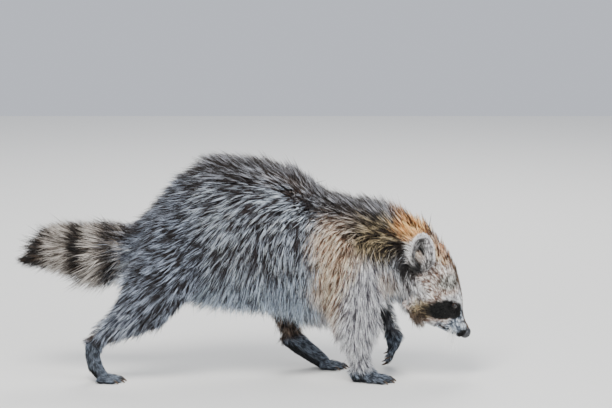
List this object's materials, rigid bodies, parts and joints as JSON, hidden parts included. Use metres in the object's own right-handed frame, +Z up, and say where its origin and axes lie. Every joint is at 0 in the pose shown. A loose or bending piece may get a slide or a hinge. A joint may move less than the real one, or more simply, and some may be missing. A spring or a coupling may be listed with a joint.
{
  "type": "raccoon",
  "caption": "Life-size still model of a walking raccoon with its head lowered, full grey-brown coat, black eye mask and ringed tail.",
  "frame": {"origin": "on the floor, under the middle of the box around the whole animal, from nose tip to tail tip", "axes": "+X is the way the animal walks, +Y its left side, +Z up"},
  "size_m": [0.6815, 0.182, 0.338],
  "materials": {
    "coat": "long grizzled grey-brown fur with pale and black tips",
    "face_fur": "short pale grey fur with a black mask over the eyes",
    "ear_fur": "short grey fur with a white rim",
    "tail_fur": "bushy fur in pale buff and dark brown rings",
    "paw_skin": "short slate-grey fur above, bare black pads below",
    "claw": "dark horn, slightly glossy",
    "eye": "wet dark brown",
    "nose": "moist black pebbled skin"
  },
  "bodies": {
    "root": {"ear_left": "ear_fur", "ear_right": "ear_fur", "eye_left": "eye", "eye_right": "eye", "foreleg_left_claw_1": "claw", "foreleg_left_claw_2": "claw", "foreleg_left_claw_3": "claw", "foreleg_left_claw_4": "claw", "foreleg_left_claw_5": "claw", "foreleg_left_forearm": "coat", "foreleg_left_paw": "paw_skin", "foreleg_left_shoulder": "coat", "foreleg_right_claw_1": "claw", "foreleg_right_claw_2": "claw", "foreleg_right_claw_3": "claw", "foreleg_right_claw_4": "claw", "foreleg_right_claw_5": "claw", "foreleg_right_forearm": "coat", "foreleg_right_paw": "paw_skin", "foreleg_right_shoulder": "coat", "head": "face_fur", "hindleg_left_claw_1": "claw", "hindleg_left_claw_2": "claw", "hindleg_left_claw_3": "claw", "hindleg_left_claw_4": "claw", "hindleg_left_claw_5": "claw", "hindleg_left_foot": "paw_skin", "hindleg_left_shank": "coat", "hindleg_left_thigh": "coat", "hindleg_right_claw_1": "claw", "hindleg_right_claw_2": "claw", "hindleg_right_claw_3": "claw", "hindleg_right_claw_4": "claw", "hindleg_right_claw_5": "claw", "hindleg_right_foot": "paw_skin", "hindleg_right_shank": "coat", "hindleg_right_thigh": "coat", "lower_jaw": "face_fur", "neck": "coat", "nose": "nose", "tail": "tail_fur", "trunk": "coat"}
  },
  "joints": []
}
